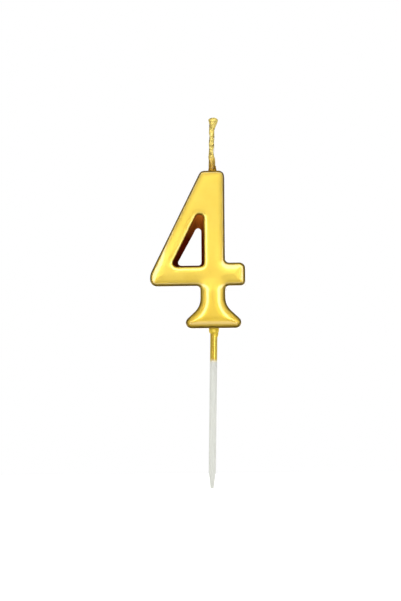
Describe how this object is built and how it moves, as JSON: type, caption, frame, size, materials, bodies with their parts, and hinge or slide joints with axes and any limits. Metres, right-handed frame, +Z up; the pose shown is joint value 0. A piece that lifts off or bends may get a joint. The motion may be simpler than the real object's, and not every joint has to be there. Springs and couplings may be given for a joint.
{
  "type": "number birthday candle",
  "caption": "Cast wax numeral four in satin gold, with a twisted wick on top and a slim plastic pick below that pushes into a cake.",
  "frame": {"origin": "where the pick's axis meets the underside of the foot, halfway through the numeral's depth", "axes": "+Z up from the pick to the wick, -Y out of the numeral's rolled front, +X to the right of someone reading the numeral"},
  "size_m": [0.0307, 0.008, 0.1179],
  "materials": {
    "wax": "satin",
    "gold_lacquer": "satin",
    "wick_cotton": "matte",
    "pick_plastic": "satin"
  },
  "bodies": {
    "root": {"numeral_wax_core": "wax", "numeral_gold_coat": "gold_lacquer", "wick_yarn_1": "wick_cotton", "wick_yarn_2": "wick_cotton", "wick_yarn_3": "wick_cotton", "wick_wax_sheath": "wax", "wick_root_bead": "wax", "wick_gold_coat": "gold_lacquer", "pick": "pick_plastic", "pick_root_bead": "wax", "pick_gold_coat": "gold_lacquer"}
  },
  "joints": []
}
